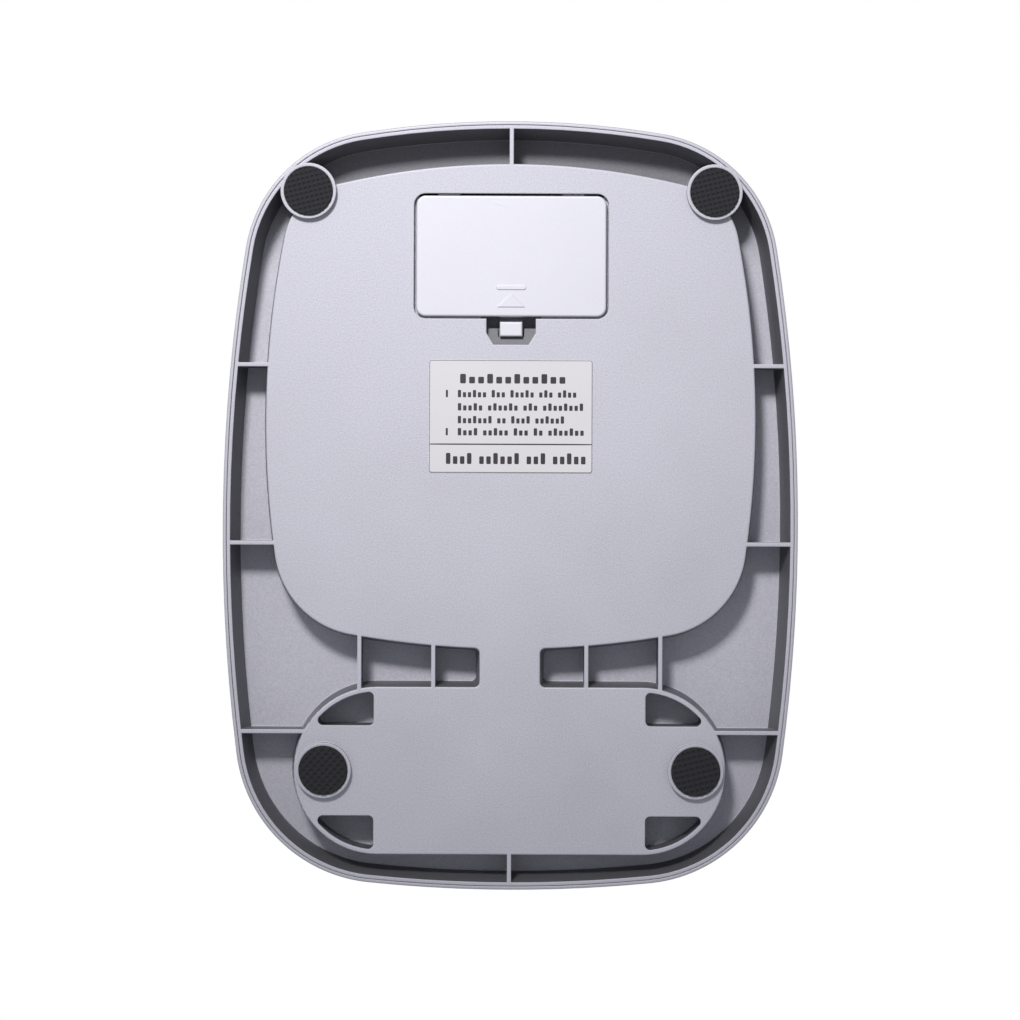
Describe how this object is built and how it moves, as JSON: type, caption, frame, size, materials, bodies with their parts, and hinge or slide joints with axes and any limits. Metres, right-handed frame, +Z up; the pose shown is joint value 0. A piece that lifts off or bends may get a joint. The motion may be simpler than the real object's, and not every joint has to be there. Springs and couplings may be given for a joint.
{
  "type": "digital table-top scale",
  "caption": "Compact table-top scale: weighing platform on a low housing with display, buttons, round foot pads and a ribbed underside with a battery door.",
  "frame": {"origin": "on the table, under the centre of the body's outline", "axes": "+Z up; -Y towards the user and the display; +Y towards the battery door; +X to the user's right"},
  "size_m": [0.1571, 0.21, 0.031],
  "materials": {
    "housing_plastic": "fine matte texture, silver grey",
    "door_plastic": "smoother satin, silver grey",
    "platform_plastic": "satin, silver grey",
    "inner_plastic": "matte, dark grey",
    "button_plastic": "satin, near black",
    "connector_plastic": "natural nylon",
    "pad_rubber": "matte, patterned grip",
    "zebra_rubber": "matte",
    "sealant": "soft white silicone",
    "label_film": "silver printed film",
    "clear_lens": "clear gloss with a dark border",
    "display_glass": "grey-green liquid crystal glass",
    "board": "green solder mask",
    "epoxy": "black resin",
    "cell_can": "printed sleeve over steel",
    "contact_steel": "nickel-plated spring steel",
    "screw_steel": "zinc plated",
    "beam_aluminium": "milled, clear anodised",
    "lead_jacket": "grey cable jacket",
    "wire_red": "red insulation",
    "wire_black": "black insulation"
  },
  "bodies": {
    "base": {"base_housing": "housing_plastic", "top_cover": "housing_plastic", "display_lens": "clear_lens", "rating_label": "label_film", "foot_pad_rear_left": "pad_rubber", "foot_pad_rear_right": "pad_rubber", "foot_pad_front_left": "pad_rubber", "foot_pad_front_right": "pad_rubber", "cover_screws": "screw_steel", "load_cell_base_screws": "screw_steel", "board_screws": "screw_steel", "battery_1": "cell_can", "battery_2": "cell_can", "battery_3": "cell_can", "contact_positive": "contact_steel", "contact_negative": "contact_steel", "contact_link_left": "contact_steel", "contact_link_right": "contact_steel", "contact_spring_1": "contact_steel", "contact_spring_2": "contact_steel", "contact_spring_3": "contact_steel", "load_cell": "beam_aluminium", "gauge_coating": "sealant", "circuit_board": "board", "lcd_glass": "display_glass", "lcd_frame": "inner_plastic", "zebra_strips": "zebra_rubber", "main_chip": "epoxy", "capacitor": "epoxy", "lead_connector": "connector_plastic", "power_switch": "epoxy", "unit_switch": "epoxy", "load_cell_lead": "lead_jacket", "battery_lead_positive": "wire_red", "battery_lead_negative": "wire_black"},
    "weighing_platform": {"platform": "platform_plastic", "platform_support": "inner_plastic", "load_cell_platform_screws": "screw_steel"},
    "battery_door": {"battery_door": "door_plastic"},
    "door_latch": {"door_latch": "door_plastic"},
    "power_button": {"power_button": "button_plastic", "power_switch_plunger": "connector_plastic"},
    "unit_button": {"unit_button": "button_plastic", "unit_switch_plunger": "connector_plastic"}
  },
  "joints": [
    {"name": "platform_load", "type": "slide", "parent": "base", "child": "weighing_platform", "axis": [0, 0, -1], "range_m": [0, 0.0006], "stiffness_N_per_m": 8000, "deforming": ["load_cell"]},
    {"name": "battery_door_hinge", "type": "hinge", "parent": "base", "child": "battery_door", "pos_m": [0, 0.0837, 0.0032], "axis": [1, 0, 0], "range_deg": [0, 45], "deforming": ["door_latch"]},
    {"name": "door_latch_flex", "type": "hinge", "parent": "battery_door", "child": "door_latch", "pos_m": [0, 0.0498, 0.0105], "axis": [1, 0, 0], "range_deg": [0, 9], "stiffness_Nm_per_rad": 0.0002, "springref_deg": -5.73},
    {"name": "power_button_press", "type": "slide", "parent": "base", "child": "power_button", "axis": [0, 0, -1], "range_m": [0, 0.0005], "stiffness_N_per_m": 200},
    {"name": "unit_button_press", "type": "slide", "parent": "base", "child": "unit_button", "axis": [0, 0, -1], "range_m": [0, 0.0005], "stiffness_N_per_m": 200}
  ]
}
